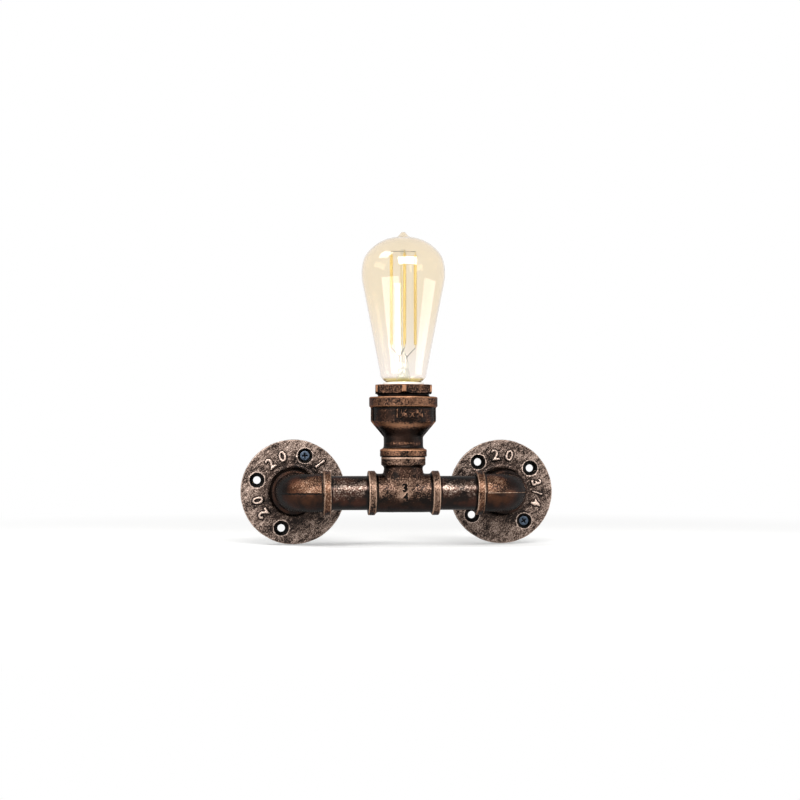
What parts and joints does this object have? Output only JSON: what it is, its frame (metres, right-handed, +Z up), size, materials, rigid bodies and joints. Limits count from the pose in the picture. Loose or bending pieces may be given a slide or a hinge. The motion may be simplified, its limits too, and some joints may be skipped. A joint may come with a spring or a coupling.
{
  "type": "industrial pipe wall light",
  "caption": "Wall light of screwed pipe fittings: round flanges, elbows and a level pipe run, with a tee that carries an upright pear-shaped filament lamp.",
  "frame": {"origin": "on the wall plane, midway between the two flanges, level with the pipe run", "axes": "+X along the pipe run to the right as seen from the room, +Y into the wall, +Z up along the lamp"},
  "size_m": [0.254, 0.0816, 0.2471],
  "materials": {
    "bronzed_casting": "rough casting, blackened, with bronze and copper rubbed on its raised edges",
    "bronzed_pipe": "dark bronzed steel pipe, satin",
    "vulcanised_fibre": "plain",
    "zinc_plated_steel": "bright zinc plate",
    "white_porcelain": "white glaze",
    "brass": "bright, slightly toned",
    "brown_insulation": "smooth",
    "blue_insulation": "smooth",
    "green_yellow_insulation": "smooth",
    "amber_glass": "blown, clear amber",
    "clear_glass": "drawn, clear",
    "black_glass": "pressed, black",
    "solder": "dull",
    "filament_phosphor": "coated",
    "nickel_wire": "drawn",
    "circuit_board": "lacquered"
  },
  "bodies": {
    "pipe_frame": {"left_flange": "bronzed_casting", "left_flange_nipple": "bronzed_pipe", "left_elbow": "bronzed_casting", "left_pipe": "bronzed_pipe", "right_flange": "bronzed_casting", "right_flange_nipple": "bronzed_pipe", "right_elbow": "bronzed_casting", "right_pipe": "bronzed_pipe", "tee": "bronzed_casting", "riser_nipple": "bronzed_pipe", "reducing_socket": "bronzed_casting", "hex_bushing": "bronzed_casting", "cushion_ring": "vulcanised_fibre", "earth_tag_washer": "zinc_plated_steel", "lampholder_body": "white_porcelain", "screw_shell": "brass", "centre_contact": "brass", "live_terminal": "brass", "neutral_terminal": "brass", "contact_screws": "zinc_plated_steel", "terminal_clamp_screws": "zinc_plated_steel", "live_lead": "brown_insulation", "neutral_lead": "blue_insulation", "earth_lead": "green_yellow_insulation"},
    "lamp_contact": {"solder_tip": "solder"},
    "lamp": {"bulb_glass": "amber_glass", "bulb_cap": "brass", "cap_insulator": "black_glass", "glass_stem": "clear_glass", "led_filaments": "filament_phosphor", "lead_in_wires": "nickel_wire", "top_wires": "nickel_wire", "lamp_driver": "circuit_board"}
  },
  "joints": [
    {"name": "lamp_lift", "type": "slide", "parent": "pipe_frame", "child": "lamp_contact", "axis": [0, 0, 1], "range_m": [0, 0.0218]},
    {"name": "lamp_turn", "type": "hinge", "parent": "lamp_contact", "child": "lamp", "pos_m": [0, -0.0488, 0.0578], "axis": [0, 0, 1], "range_deg": [0, 2160]}
  ],
  "couplings": [
    {"joint": "lamp_lift", "follows": "lamp_turn", "m_per_rad": 0.00057757}
  ]
}
